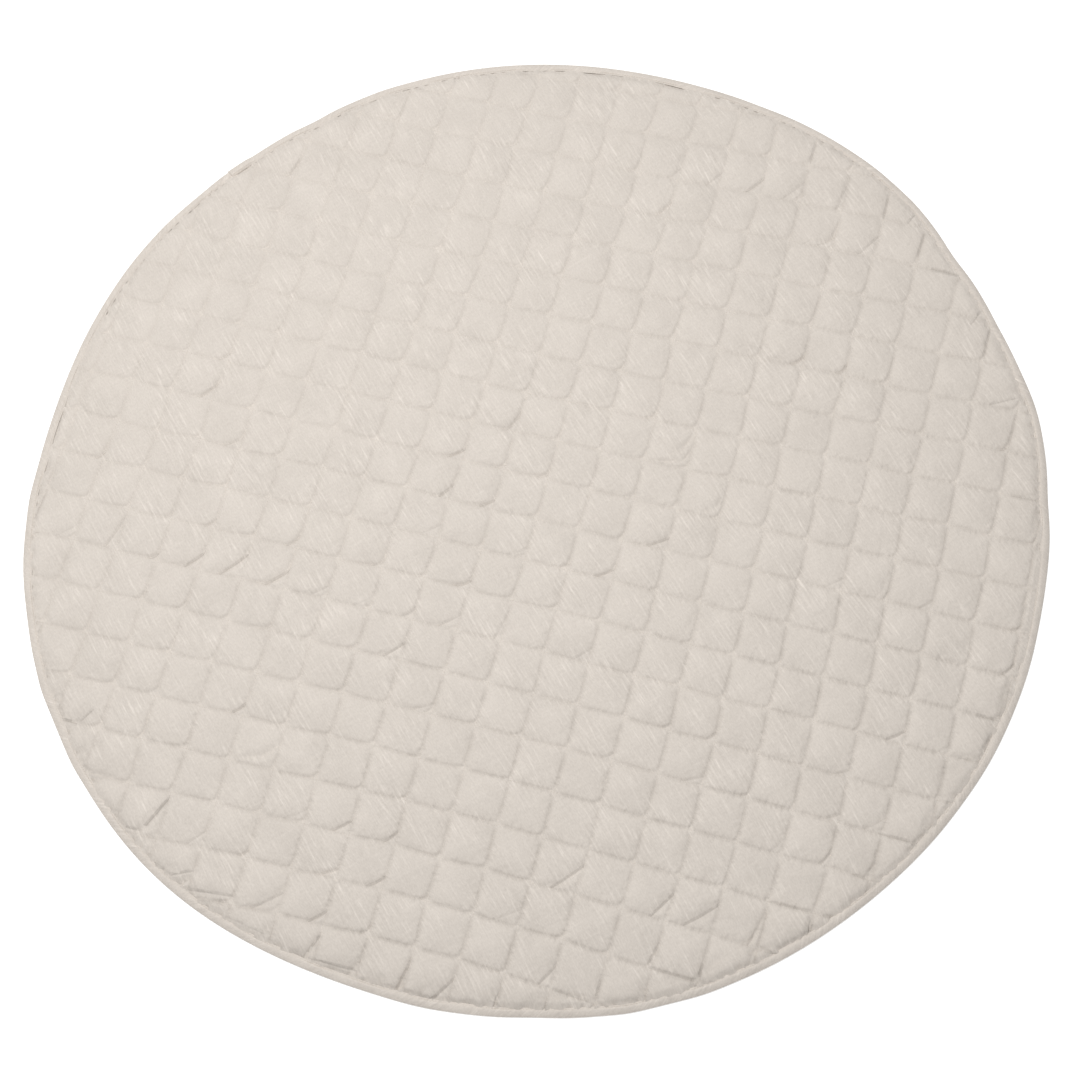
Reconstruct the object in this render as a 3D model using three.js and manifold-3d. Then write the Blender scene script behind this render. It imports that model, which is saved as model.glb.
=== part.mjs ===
// Round quilted baby play mat, lying flat on the floor.
// A quilted panel is sewn in squares, and a folded strip of the same cloth binds its raw edge.
// Units are millimetres, +Z is up, and the origin is the middle of the underside.

import * as THREE from 'three';
import { mergeVertices } from 'three/addons/utils/BufferGeometryUtils.js';
import Module from 'manifold-3d';

// Driving sizes of the mat
const MAT_RADIUS = 600;
const SQUARES_ACROSS = 23;
const SQUARE = (2 * MAT_RADIUS) / SQUARES_ACROSS;
const PILLOW_TOP = 8.4;
const SEAM_TOP = 4;

// The cloth edge inside the binding, pressed thin
const RIM_UNDERSIDE = 1.7;
const RIM_TOP = 4.3;

// The binding strip, folded over the edge
const BINDING_WIDTH = 10;
const BINDING_CLOTH = 1.4;
const BINDING_TOP = 6.4;
const CLEARANCE = 0.3;

// How finely the round edge is drawn
const EDGE_STATIONS = 120;

// Unevenness of the cut edge: so many waves round the mat, each so far in and out, turned by an angle
const EDGE_WAVES = [
  { waves: 2, height: 4.6, turn: 97 },
  { waves: 3, height: 2.6, turn: -81 },
  { waves: 4, height: 2.3, turn: -172 },
  { waves: 5, height: 1.0, turn: 30 },
  { waves: 6, height: 0.9, turn: -16 },
  { waves: 7, height: 0.7, turn: 68 },
  { waves: 8, height: 1.8, turn: 178 },
  { waves: 10, height: 0.9, turn: -137 },
];

// Where the seams lie when they run true, as the offset of the nearest seam from the middle of the mat
const UPRIGHT_SEAM_OFFSET = 3.9;
const LEVEL_SEAM_OFFSET = -12.2;

// How far the upright seams have drifted to the right. Each row is a seam at this x, and its columns
// go along the seam from its lower end to its upper end.
const UPRIGHT_SEAM_DRIFT = [
  { at: -560, start: 0, quarter: 2, middle: 4, threeQuarters: 8, end: 12 },
  { at: -373, start: 2, quarter: 1, middle: 2, threeQuarters: 6, end: 12 },
  { at: -187, start: 3, quarter: 0, middle: 1, threeQuarters: 5, end: 9 },
  { at: 0, start: 4, quarter: 2, middle: 2, threeQuarters: 3, end: 6 },
  { at: 187, start: 2, quarter: 5, middle: 3, threeQuarters: -1, end: 2 },
  { at: 373, start: 1, quarter: 5, middle: 2, threeQuarters: -2, end: -2 },
  { at: 560, start: 1, quarter: 1, middle: 0, threeQuarters: -3, end: -4 },
];

// How far the level seams have drifted upwards. Each row is a seam at this y, and its columns
// go along the seam from its left end to its right end.
const LEVEL_SEAM_DRIFT = [
  { at: -560, start: -8, quarter: -2, middle: 0, threeQuarters: -4, end: -12 },
  { at: -373, start: -8, quarter: -4, middle: 0, threeQuarters: -5, end: -12 },
  { at: -187, start: -6, quarter: -3, middle: -1, threeQuarters: -5, end: -8 },
  { at: 0, start: -3, quarter: -3, middle: -4, threeQuarters: -3, end: -1 },
  { at: 187, start: -1, quarter: -5, middle: -6, threeQuarters: 0, end: 5 },
  { at: 373, start: -2, quarter: -3, middle: -1, threeQuarters: 4, end: 9 },
  { at: 560, start: -3, quarter: 1, middle: 4, threeQuarters: 8, end: 13 },
];
const DRIFT_COLUMNS = ['start', 'quarter', 'middle', 'threeQuarters', 'end'];

// One pillow, as a raised ring of four points round a crown, in shares of its square.
// The cloth was dragged as it was sewn, so every pillow leans to the right and down.
const RING_INSET = 0.24;
const RING_SHARE = 0.82;
const PILLOW_LEAN = 0.04;
const PILLOW_VARIATION = 0.07;

// Height of the quilt over its pressed rim, by the distance from the outer edge
const RIM_SLOPE = [
  { inset: 15, top: 6.6 },
  { inset: 27, top: 9.2 },
];
const UNDERSIDE_LIFT = 2.4;

// The lapped join of the binding at the upper left, where the strip lies double
const JOIN_START = 141.6;
const JOIN_END = 145.2;
const JOIN_STEP = 0.15;
const JOIN_BULGE = 1.6;

const wasm = await Module();
wasm.setup();

// Distance of the outer edge from the middle of the mat, at an angle in radians.
function edgeRadius(angle) {
  let radius = MAT_RADIUS;
  for (const { waves, height, turn } of EDGE_WAVES) {
    radius += height * Math.cos(waves * angle - THREE.MathUtils.degToRad(turn));
  }
  return radius;
}

// The middle of the uneven outline's box, which becomes the origin.
function outlineMiddle() {
  const box = new THREE.Box2();
  for (let k = 0; k < EDGE_STATIONS; k += 1) {
    const angle = (2 * Math.PI * k) / EDGE_STATIONS;
    const radius = edgeRadius(angle);
    box.expandByPoint(new THREE.Vector2(radius * Math.cos(angle), radius * Math.sin(angle)));
  }
  return box.getCenter(new THREE.Vector2());
}

const MIDDLE = outlineMiddle();

// A smooth curve through evenly spaced values, at a place counted in steps from the first one.
function smoothThrough(values, place) {
  const last = values.length - 1;
  const clamped = THREE.MathUtils.clamp(place, 0, last);
  const i = Math.min(Math.floor(clamped), last - 1);
  const before = i > 0 ? values[i - 1] : 2 * values[0] - values[1];
  const after = i + 2 <= last ? values[i + 2] : 2 * values[last] - values[last - 1];
  const t = clamped - i;
  const leave = (values[i + 1] - before) / 2;
  const arrive = (after - values[i]) / 2;
  const rise = values[i + 1] - values[i];
  return values[i] + t * (leave + t * (3 * rise - 2 * leave - arrive + t * (leave + arrive - 2 * rise)));
}

// Sideways drift of a seam, read from its table across the seams and along the seam's own length.
function seamDrift(table, across, along) {
  const half = Math.sqrt(Math.max(MAT_RADIUS ** 2 - across ** 2, SQUARE ** 2));
  const share = THREE.MathUtils.clamp(along / half, -1, 1);
  const column = ((share + 1) / 2) * (DRIFT_COLUMNS.length - 1);
  const spacing = table[1].at - table[0].at;
  const row = (across - table[0].at) / spacing;
  const reach = table.map((entry) => smoothThrough(DRIFT_COLUMNS.map((name) => entry[name]), column));
  return smoothThrough(reach, row);
}

// A point of the quilting grid, counted in squares from the middle, moved by the drift of the seams.
function quiltPoint(column, row, height) {
  const x = UPRIGHT_SEAM_OFFSET + column * SQUARE;
  const y = LEVEL_SEAM_OFFSET + row * SQUARE;
  return new THREE.Vector3(
    x + seamDrift(UPRIGHT_SEAM_DRIFT, x, y) - MIDDLE.x,
    y + seamDrift(LEVEL_SEAM_DRIFT, y, x) - MIDDLE.y,
    height,
  );
}

// Height of one pillow over its seams: no two are filled quite alike.
function pillowRise(column, row) {
  const uneven = Math.sin(2.1 * column + 1.3 * row) * Math.cos(1.7 * column - 2.9 * row);
  return (PILLOW_TOP - SEAM_TOP) * (1 - PILLOW_VARIATION * (1 + uneven) * 0.5);
}

// Collects triangles by their corner points.
class TriangleList {
  constructor() {
    this.numbers = [];
  }

  triangle(a, b, c) {
    this.numbers.push(a.x, a.y, a.z, b.x, b.y, b.z, c.x, c.y, c.z);
  }

  quad(a, b, c, d) {
    this.triangle(a, b, c);
    this.triangle(a, c, d);
  }

  geometry() {
    const open = new THREE.BufferGeometry();
    open.setAttribute('position', new THREE.Float32BufferAttribute(this.numbers, 3));
    return mergeVertices(open, 0.0001);
  }
}

function toSolid(geometry) {
  const mesh = new wasm.Mesh({
    numProp: 3,
    vertProperties: geometry.attributes.position.array,
    triVerts: new Uint32Array(geometry.index.array),
  });
  return new wasm.Manifold(mesh);
}

function toGeometry(solid) {
  const mesh = solid.getMesh();
  const geometry = new THREE.BufferGeometry();
  geometry.setAttribute('position', new THREE.BufferAttribute(mesh.vertProperties, 3));
  geometry.setIndex(new THREE.BufferAttribute(mesh.triVerts, 1));
  return geometry;
}

// The quilt before it is cut round: a square block with every pillow raised on its top.
function quiltBlock() {
  const list = new TriangleList();
  const reach = Math.ceil(SQUARES_ACROSS / 2) + 1;
  const depth = -SQUARE / 4;
  for (let column = -reach; column < reach; column += 1) {
    for (let row = -reach; row < reach; row += 1) {
      const rise = pillowRise(column, row);
      const corners = [[0, 0], [1, 0], [1, 1], [0, 1]];
      const seam = corners.map(([u, v]) => quiltPoint(column + u, row + v, SEAM_TOP));
      const ring = corners.map(([u, v]) => quiltPoint(
        column + RING_INSET + PILLOW_LEAN + u * (1 - 2 * RING_INSET),
        row + RING_INSET - PILLOW_LEAN + v * (1 - 2 * RING_INSET),
        SEAM_TOP + rise * RING_SHARE,
      ));
      const crown = quiltPoint(column + 0.5 + PILLOW_LEAN, row + 0.5 - PILLOW_LEAN, SEAM_TOP + rise);
      for (let side = 0; side < 4; side += 1) {
        const next = (side + 1) % 4;
        list.quad(seam[side], seam[next], ring[next], ring[side]);
        list.triangle(ring[side], ring[next], crown);
      }
    }
  }
  // The block's four sides and its plain base
  const base = new THREE.Vector3(-MIDDLE.x, -MIDDLE.y, depth);
  for (let step = -reach; step < reach; step += 1) {
    const walls = [
      [[step, -reach], [step + 1, -reach]],
      [[reach, step], [reach, step + 1]],
      [[step + 1, reach], [step, reach]],
      [[-reach, step + 1], [-reach, step]],
    ];
    for (const [from, to] of walls) {
      const foot = [from, to].map(([column, row]) => quiltPoint(column, row, depth));
      const head = [from, to].map(([column, row]) => quiltPoint(column, row, SEAM_TOP));
      list.quad(foot[0], foot[1], head[1], head[0]);
      list.triangle(foot[1], foot[0], base);
    }
  }
  return toSolid(list.geometry());
}

// Points round the mat, each this far in from the outer edge and at this height.
function edgeRing(angles, inset, height) {
  return angles.map((angle) => {
    const radius = edgeRadius(angle) - inset;
    return new THREE.Vector3(radius * Math.cos(angle) - MIDDLE.x, radius * Math.sin(angle) - MIDDLE.y, height);
  });
}

// Angles of the stations round the edge, with two close pairs where the lapped join starts and ends.
function stationAngles() {
  const join = [JOIN_START, JOIN_START + JOIN_STEP, JOIN_END - JOIN_STEP, JOIN_END];
  const even = Array.from({ length: EDGE_STATIONS }, (_, k) => (360 * k) / EDGE_STATIONS);
  const clear = even.filter((degrees) => join.every((stop) => Math.abs(stop - degrees) > 1));
  return [...clear, ...join].sort((a, b) => a - b).map(THREE.MathUtils.degToRad);
}

function joinRings(list, lower, upper) {
  lower.forEach((point, k) => {
    const next = (k + 1) % lower.length;
    list.quad(point, lower[next], upper[next], upper[k]);
  });
}

// The round underside: a large triangle in the middle, with the rim fanned to its three corners.
function flatUnderside(list, angles, rim) {
  const hub = [60, 180, 300].map((degrees) => {
    const angle = THREE.MathUtils.degToRad(degrees);
    return new THREE.Vector3(Math.cos(angle), Math.sin(angle), 0).multiplyScalar(MAT_RADIUS / 2);
  });
  list.triangle(hub[2], hub[1], hub[0]);
  const hubOf = (angle) => Math.floor((angle * hub.length) / (2 * Math.PI) + 0.001);
  rim.forEach((point, k) => {
    const here = hubOf(angles[k]);
    const before = hubOf(angles.at(k - 1));
    list.triangle(rim[(k + 1) % rim.length], point, hub[here]);
    if (here !== before) {
      list.triangle(point, hub[before], hub[here]);
    }
  });
}

// The round shape that the quilt is cut to: pressed thin at the rim, where the binding holds it.
function roundShape() {
  const list = new TriangleList();
  const angles = stationAngles();
  const edgeInset = BINDING_CLOTH + CLEARANCE;
  const bindingEnd = BINDING_WIDTH + CLEARANCE;
  const profile = [
    { inset: bindingEnd + UNDERSIDE_LIFT, height: 0 },
    { inset: bindingEnd, height: RIM_UNDERSIDE },
    { inset: edgeInset, height: RIM_UNDERSIDE },
    { inset: edgeInset, height: RIM_TOP },
    { inset: bindingEnd, height: RIM_TOP },
    ...RIM_SLOPE.map(({ inset, top }) => ({ inset, height: top })),
  ];
  const rings = profile.map(({ inset, height }) => edgeRing(angles, inset, height));
  flatUnderside(list, angles, rings[0]);
  for (let k = 0; k + 1 < rings.length; k += 1) {
    joinRings(list, rings[k], rings[k + 1]);
  }
  const top = new THREE.Vector3(-MIDDLE.x, -MIDDLE.y, rings.at(-1)[0].z);
  rings.at(-1).forEach((point, k, ring) => list.triangle(point, ring[(k + 1) % ring.length], top));
  return toSolid(list.geometry());
}

function quiltedPanel() {
  return toGeometry(quiltBlock().intersect(roundShape()));
}

// Section of the folded strip, from the inner end of its upper leg round the outside and back.
const BINDING_SECTION = [
  { inset: BINDING_WIDTH, height: RIM_TOP + CLEARANCE },
  { inset: BINDING_WIDTH, height: RIM_TOP + BINDING_CLOTH },
  { inset: 7.4, height: BINDING_TOP },
  { inset: 3.0, height: BINDING_TOP - 0.3 },
  { inset: 0.7, height: 4.9 },
  { inset: 0, height: 3 },
  { inset: 0.7, height: 0.7 },
  { inset: 2.4, height: 0 },
  { inset: BINDING_WIDTH, height: 0 },
  { inset: BINDING_WIDTH, height: BINDING_CLOTH },
  { inset: BINDING_CLOTH, height: BINDING_CLOTH },
  { inset: BINDING_CLOTH, height: RIM_TOP + CLEARANCE },
];

// True where the strip lies double, so that it is thicker outwards and upwards.
function lapped(angle) {
  const degrees = THREE.MathUtils.radToDeg(angle);
  return degrees > JOIN_START + JOIN_STEP / 2 && degrees < JOIN_END - JOIN_STEP / 2;
}

function edgeBinding() {
  const list = new TriangleList();
  const angles = stationAngles();
  const rings = BINDING_SECTION.map(({ inset, height }) => {
    const outwards = inset < BINDING_CLOTH ? JOIN_BULGE : 0;
    const upwards = height > RIM_TOP + CLEARANCE ? JOIN_BULGE / 2 : 0;
    return edgeRing(angles, inset, height).map((point, k) => {
      if (lapped(angles[k])) {
        const bulge = new THREE.Vector3(
          outwards * Math.cos(angles[k]),
          outwards * Math.sin(angles[k]),
          upwards,
        );
        point.add(bulge);
      }
      return point;
    });
  });
  rings.forEach((ring, k) => joinRings(list, rings[(k + 1) % rings.length], ring));
  return list.geometry();
}

const panelCloth = new THREE.MeshStandardMaterial({ color: 0xd6cdc3, roughness: 0.95, metalness: 0 });
const bindingCloth = new THREE.MeshStandardMaterial({ color: 0xd9d1c6, roughness: 0.95, metalness: 0 });

const panel = new THREE.Mesh(quiltedPanel(), panelCloth);
panel.name = 'quilted_panel';

const binding = new THREE.Mesh(edgeBinding(), bindingCloth);
binding.name = 'edge_binding';

const group = new THREE.Group();
group.add(panel, binding);

export default group;
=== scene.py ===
# Round quilted baby play mat of pale linen-coloured cloth, lying flat, seen from above.
import bpy
import math
import numpy as np
from mathutils import Matrix, Vector


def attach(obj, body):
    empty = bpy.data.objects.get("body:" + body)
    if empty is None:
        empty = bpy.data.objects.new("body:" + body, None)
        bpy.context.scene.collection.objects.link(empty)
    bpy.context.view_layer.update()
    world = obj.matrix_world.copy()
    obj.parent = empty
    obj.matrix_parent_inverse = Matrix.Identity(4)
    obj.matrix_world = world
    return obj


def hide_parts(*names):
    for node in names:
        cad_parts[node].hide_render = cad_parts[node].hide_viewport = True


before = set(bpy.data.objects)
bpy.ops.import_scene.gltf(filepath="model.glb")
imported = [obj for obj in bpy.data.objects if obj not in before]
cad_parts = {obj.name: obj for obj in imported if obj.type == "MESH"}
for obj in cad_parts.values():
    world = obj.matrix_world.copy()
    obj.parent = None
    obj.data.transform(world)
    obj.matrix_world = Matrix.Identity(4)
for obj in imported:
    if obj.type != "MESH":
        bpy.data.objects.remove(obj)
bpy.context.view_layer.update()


# Camera
# It stands above the near right side of the mat and looks down steeply, a little rolled, through a
# long lens, so the round mat nearly fills the square picture.

CAMERA_PLACE = Vector((0.3629, -0.9161, 2.5380))
CAMERA_AIM = Vector((0.0152, -0.0402, 0.0))
CAMERA_ROLL = math.radians(-7.03)
CAMERA_LENS_MM = 77.2


def set_down(name, data):
    """Puts one more object into the scene."""
    thing = bpy.data.objects.new(name, data)
    bpy.context.scene.collection.objects.link(thing)
    return thing


camera_data = bpy.data.cameras.new("camera")
camera_data.lens = CAMERA_LENS_MM
camera_data.sensor_width = 36.0
camera = set_down("camera", camera_data)
look = (CAMERA_AIM - CAMERA_PLACE).to_track_quat("-Z", "Y").to_matrix()
rolled = look @ Matrix.Rotation(CAMERA_ROLL, 3, "Z")
camera.matrix_world = Matrix.Translation(CAMERA_PLACE) @ rolled.to_4x4()
bpy.context.scene.camera = camera


# Floor and daylight
# The mat lies on a plain pale floor, under a soft light that hangs high above its upper left part,
# with bright even light all round. The floor is so bright that it reads as plain white.

FLOOR_REACH = 14.0
FLOOR_COLOUR = (0.93, 0.93, 0.93)
FLOOR_GLOW = 0.30
ROOM_COLOUR = (1.0, 1.0, 1.0)
ROOM_STRENGTH = 0.42
LAMP_PLACE = Vector((-0.54, 0.26, 2.45))
LAMP_WIDTH = 0.60
LAMP_WATTS = 41.0

floor_mesh = bpy.data.meshes.new("floor")
corners = [(-1, -1, 0), (1, -1, 0), (1, 1, 0), (-1, 1, 0)]
floor_mesh.from_pydata([Vector(c) * FLOOR_REACH / 2 for c in corners], [], [(0, 1, 2, 3)])
floor = set_down("floor", floor_mesh)
floor_paint = bpy.data.materials.new("pale_floor")
floor_paint.use_nodes = True
floor_shader = floor_paint.node_tree.nodes["Principled BSDF"]
floor_shader.inputs["Base Color"].default_value = (*FLOOR_COLOUR, 1)
floor_shader.inputs["Roughness"].default_value = 0.9
floor_shader.inputs["Specular IOR Level"].default_value = 0.1
floor_shader.inputs["Emission Color"].default_value = (1, 1, 1, 1)
floor_shader.inputs["Emission Strength"].default_value = FLOOR_GLOW
floor_mesh.materials.append(floor_paint)

room = bpy.data.worlds.new("room")
room.use_nodes = True
room.node_tree.nodes["Background"].inputs["Color"].default_value = (*ROOM_COLOUR, 1)
room.node_tree.nodes["Background"].inputs["Strength"].default_value = ROOM_STRENGTH
bpy.context.scene.world = room

lamp_data = bpy.data.lights.new("window_light", "AREA")
lamp_data.shape = "DISK"
lamp_data.size = LAMP_WIDTH
lamp_data.energy = LAMP_WATTS
lamp = set_down("window_light", lamp_data)
lamp.location = LAMP_PLACE
lamp.rotation_euler = (-LAMP_PLACE).to_track_quat("-Z", "Y").to_euler()

bpy.context.scene.view_settings.view_transform = "Standard"


# Quilted panel
# Two round layers of slubby plain weave with wadding between, sewn together in squares. The cloth is
# cut on the bias and was dragged as it was sewn, so its pillows lean and fold at their lower right
# corners. It is one closed mesh: cloth above, cloth below, and the pressed edge inside the binding.

MAT_RADIUS = 0.600
SQUARE = 2 * MAT_RADIUS / 23
SQUARES_REACH = 12
UPRIGHT_SEAM_OFFSET = 0.0039
LEVEL_SEAM_OFFSET = -0.0122
OUTLINE_MIDDLE = np.array([0.001535, 0.002419])

# Waves of the cut edge: how many round the mat, how far in and out, and the angle each is turned by
EDGE_WAVES = np.array([
    (2, 0.0046, 97), (3, 0.0026, -81), (4, 0.0023, -172), (5, 0.0010, 30),
    (6, 0.0009, -16), (7, 0.0007, 68), (8, 0.0018, 178), (10, 0.0009, -137),
])

# Small bumps and hollows of the edge: the way they lie from the middle, in degrees, how far out they
# go, in millimetres, and how wide they are, in degrees
EDGE_BUMPS = [
    (-167, 1.3, 2.5), (-153, -1.9, 4.5), (-144, 1.0, 2.0), (-135, 1.2, 2.5), (-87, 1.3, 4.0),
    (-75, -1.6, 3.5), (-65, 1.3, 2.5), (-57, 0.8, 2.5), (-22, -0.7, 4.0), (-5, 0.9, 4.5),
    (15, -2.5, 3.5), (26, 2.2, 4.0), (37, -0.7, 2.5), (47, -2.6, 2.8), (55, 1.2, 3.0),
    (61, 0.7, 3.0), (77, -0.6, 2.5), (124, 0.9, 3.0), (133, -1.9, 2.2), (146, 1.0, 2.5),
    (155, 0.6, 3.0), (167, -0.7, 5.0),
]

# Drift of the upright seams to the right, in millimetres, one row for each x from left to right,
# from a seam's lower end to its upper end, then the same for the upward drift of the level seams,
# one row for each y from bottom to top, from a seam's left end to its right end.
DRIFT_REACH = 0.560
UPRIGHT_DRIFT = np.array([
    (0, 2, 4, 8, 12),
    (2, 1, 2, 6, 12),
    (3, 0, 1, 5, 9),
    (4, 2, 2, 3, 6),
    (2, 5, 3, -1, 2),
    (1, 5, 2, -2, -2),
    (1, 1, 0, -3, -4),
]) * 0.001
LEVEL_DRIFT = np.array([
    (-8, -2, 0, -4, -12),
    (-8, -4, 0, -5, -12),
    (-6, -3, -1, -5, -8),
    (-3, -3, -4, -3, -1),
    (-1, -5, -6, 0, 5),
    (-2, -3, -1, 4, 9),
    (-3, 1, 4, 8, 13),
]) * 0.001

SEAM_TOP = 0.0045
SEAM_UNEVEN = 0.0003
SEAM_WOBBLE = 0.0007
PILLOW_RISE = 0.0039
PILLOW_FORM = 1.55
SIDE_SHARE = 0.21
SIDE_REACH_MM = 1.8
RIM_UNDERSIDE = 0.0019
RIM_TOP = 0.0038
RIM_SLOPE = 0.010
RIM_TAPER = 0.0013
RIM_TAPER_START = 0.0065
RIM_TAPER_REACH = 0.0043
RIM_RISE = 0.006
RIM_EASE = 0.08
RIM_EASE_REACH = 0.008
RIM_ROOM_FORM = 0.6
BINDING_WIDTH = 0.010
RIM_INSET = 0.0028
SEAM_LIFT_BELOW = 0.0016
LOWER_RIM_WAY = math.radians(-72)
LONGER_LOWER_RISE = 2.5
STEEPER_LOWER_RIM = 0.4
LOWER_RIM_BULGE = 0.22
LOWER_BULGE_REACH = 0.018


def edge_radius(angle):
    """How far the outer edge of the mat lies from its middle, looking that way."""
    waves = sum(h * np.cos(n * angle - math.radians(turn)) for n, h, turn in EDGE_WAVES)
    for way, out_mm, wide in EDGE_BUMPS:
        turn = angle - math.radians(way)
        aside = np.degrees(np.arctan2(np.sin(turn), np.cos(turn)))
        waves = waves + out_mm * 0.001 * np.exp(-(aside / wide) ** 2)
    return MAT_RADIUS + waves


def smooth_through(values, place):
    """Smooth curve through the evenly spaced rows of values, read at places counted in rows."""
    last = len(values) - 1
    ends = np.concatenate([[2 * values[0] - values[1]], values, [2 * values[-1] - values[-2]]])
    place = np.clip(place, 0, last)
    i = np.minimum(np.floor(place).astype(int), last - 1)
    t = place - i
    if np.ndim(values) > 1:
        columns = np.arange(len(place))
        before, here, there, after = (ends[i + k, columns] for k in range(4))
    else:
        before, here, there, after = (ends[i + k] for k in range(4))
    leave = (there - before) / 2
    arrive = (after - here) / 2
    rise = there - here
    return here + t * (leave + t * (3 * rise - 2 * leave - arrive + t * (leave + arrive - 2 * rise)))


def seam_drift(table, across, along):
    """How far a seam has drifted to its side, at a place across the seams and along them."""
    half = np.sqrt(np.maximum(MAT_RADIUS ** 2 - across ** 2, SQUARE ** 2))
    column = (np.clip(along / half, -1, 1) + 1) / 2 * (table.shape[1] - 1)
    rows = np.stack([smooth_through(row, column) for row in table])
    row = (across + DRIFT_REACH) / (2 * DRIFT_REACH) * (len(table) - 1)
    return smooth_through(rows, row)


random = np.random.default_rng(41)
squares = 2 * SQUARES_REACH
seam_heights = SEAM_UNEVEN * random.standard_normal((squares + 1, squares + 1))
wobble_x = SEAM_WOBBLE * random.standard_normal((squares + 1, squares + 1))
wobble_y = SEAM_WOBBLE * random.standard_normal((squares + 1, squares + 1))


def between_crossings(values, u, v):
    """Runs smoothly from the value at one crossing of the seams to the next."""
    i = np.clip(np.floor(u).astype(int) + SQUARES_REACH, 0, squares - 1)
    j = np.clip(np.floor(v).astype(int) + SQUARES_REACH, 0, squares - 1)
    s = u + SQUARES_REACH - i
    t = v + SQUARES_REACH - j
    s = s * s * (3 - 2 * s)
    t = t * t * (3 - 2 * t)
    low = values[i, j] * (1 - s) + values[i + 1, j] * s
    high = values[i, j + 1] * (1 - s) + values[i + 1, j + 1] * s
    return low * (1 - t) + high * t


def quilt_place(u, v):
    """x and y of a place counted in squares from the middle seams."""
    shape = np.shape(u)
    x = (UPRIGHT_SEAM_OFFSET + u * SQUARE).ravel()
    y = (LEVEL_SEAM_OFFSET + v * SQUARE).ravel()
    moved_x = x + seam_drift(UPRIGHT_DRIFT, x, y) - OUTLINE_MIDDLE[0]
    moved_y = y + seam_drift(LEVEL_DRIFT, y, x) - OUTLINE_MIDDLE[1]
    moved_x = moved_x.reshape(shape) + between_crossings(wobble_x, u, v)
    moved_y = moved_y.reshape(shape) + between_crossings(wobble_y, u, v)
    return moved_x, moved_y


def inside_edge(x, y):
    """How far a place lies in from the outer edge of the mat."""
    cx = x + OUTLINE_MIDDLE[0]
    cy = y + OUTLINE_MIDDLE[1]
    return edge_radius(np.arctan2(cy, cx)) - np.hypot(cx, cy)


def toward_lower_rim(x, y):
    """1 on the way to the lower rim, a little right of its middle, and 0 on the way to the others."""
    return np.maximum(0, np.cos(np.arctan2(y, x) - LOWER_RIM_WAY))


def seam_top(u, v, x, y):
    """Height of the cloth at the seams: a little uneven, and lower where the binding holds it."""
    even = SEAM_TOP + between_crossings(seam_heights, u, v)
    reach = RIM_RISE * (1 + LONGER_LOWER_RISE * toward_lower_rim(x, y))
    inward = (inside_edge(x, y) - BINDING_WIDTH) / reach
    return RIM_TOP + (even - RIM_TOP) * np.clip(inward, 0, 1)


def grid_lines(gaps):
    """Places of the mesh lines across the whole quilt, counted in squares, from one square's gaps."""
    shares = np.concatenate([[0], np.cumsum(gaps)[:-1]]) / np.sum(gaps)
    squares = np.arange(-SQUARES_REACH, SQUARES_REACH)
    return np.append((squares[:, None] + shares[None, :]).ravel(), SQUARES_REACH)


def relax_cloth(points, free, links, rounds, push, ceiling):
    """Lets a grid of points settle: each link pulls its two ends towards its own length in turn.

    Each row of links holds the step from one end to the other, how hard the link pulls, and how much
    longer it is than the gap that it spans. No point stays above the ceiling for long.
    """
    rows, columns = points.shape[:2]
    points = points.copy()

    def ends(grid, step):
        i, j = step
        near = slice(max(0, -j), columns - max(0, j))
        far = slice(max(0, j), columns - max(0, -j))
        return grid[:rows - i, near], grid[i:, far]

    jobs = []
    for step, pull, stretch in links:
        a, b = ends(points, step)
        slack_a, slack_b = ends(stretch, step)
        length = np.linalg.norm(a - b, axis=2) * (slack_a + slack_b) / 2
        free_a, free_b = ends(free, step)
        share = np.where(free_a + free_b > 0, free_a + free_b, 1)
        axis = 0 if step[0] > 0 else 1
        span = step[axis] if 0 in step else 1
        for start in range(2 * span):
            pick = [slice(None), slice(None)]
            pick[axis] = slice(start, None, 2 * span)
            pick = tuple(pick)
            jobs.append((step, pick, pull, length[pick], (free_a / share)[pick], (free_b / share)[pick]))
    for _ in range(rounds):
        points += push
        over = np.maximum(points[..., 2] - ceiling, 0)
        points[..., 2] -= over / 3
        for step, pick, pull, length, share_a, share_b in jobs:
            a, b = ends(points, step)
            reach = b[pick] - a[pick]
            size = np.sqrt(np.einsum("ijk,ijk->ij", reach, reach)) + 1e-9
            pulled = reach * (pull * (1 - length / size))[..., None]
            a[pick] += pulled * share_a[..., None]
            b[pick] -= pulled * share_b[..., None]
    return points


# Mesh lines of one square, close together at its right and lower seams, where the folds are
GAPS_ACROSS = np.array([2.4, 4.0, 5.6, 6.6, 6.8, 6.2, 5.0, 4.0, 3.2, 2.6, 2.2, 1.8, 1.5])
STEPS = len(GAPS_ACROSS)
lines_u = grid_lines(GAPS_ACROSS)
lines_v = grid_lines(GAPS_ACROSS[::-1])
u, v = np.meshgrid(lines_u, lines_v, indexing="ij")
x, y = quilt_place(u, v)
inset = inside_edge(x, y)

# Spare length of the cloth, how far it was dragged as it was sewn, and how full each pillow is
EASE = 0.022
EASE_SPREAD = 0.004
LEAST_EASE = 0.004
DRAG = 0.005
DRAG_SPREAD = 0.010
DRAG_FORM = (1.2, 0.8)
FULLNESS_SPREAD = 0.16
FULLNESS_RANGE = (0.70, 1.18)
FULLER_LOWER_RIGHT = 0.12

crossing_u = np.clip(np.ceil(u - 1e-9), 1 - SQUARES_REACH, SQUARES_REACH).astype(int)
crossing_v = np.clip(np.floor(v + 1e-9), -SQUARES_REACH, SQUARES_REACH - 1).astype(int)
square = (crossing_u + SQUARES_REACH - 1, crossing_v + SQUARES_REACH)
ease = np.maximum(LEAST_EASE, EASE + EASE_SPREAD * random.standard_normal((squares, squares)))[square]
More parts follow.
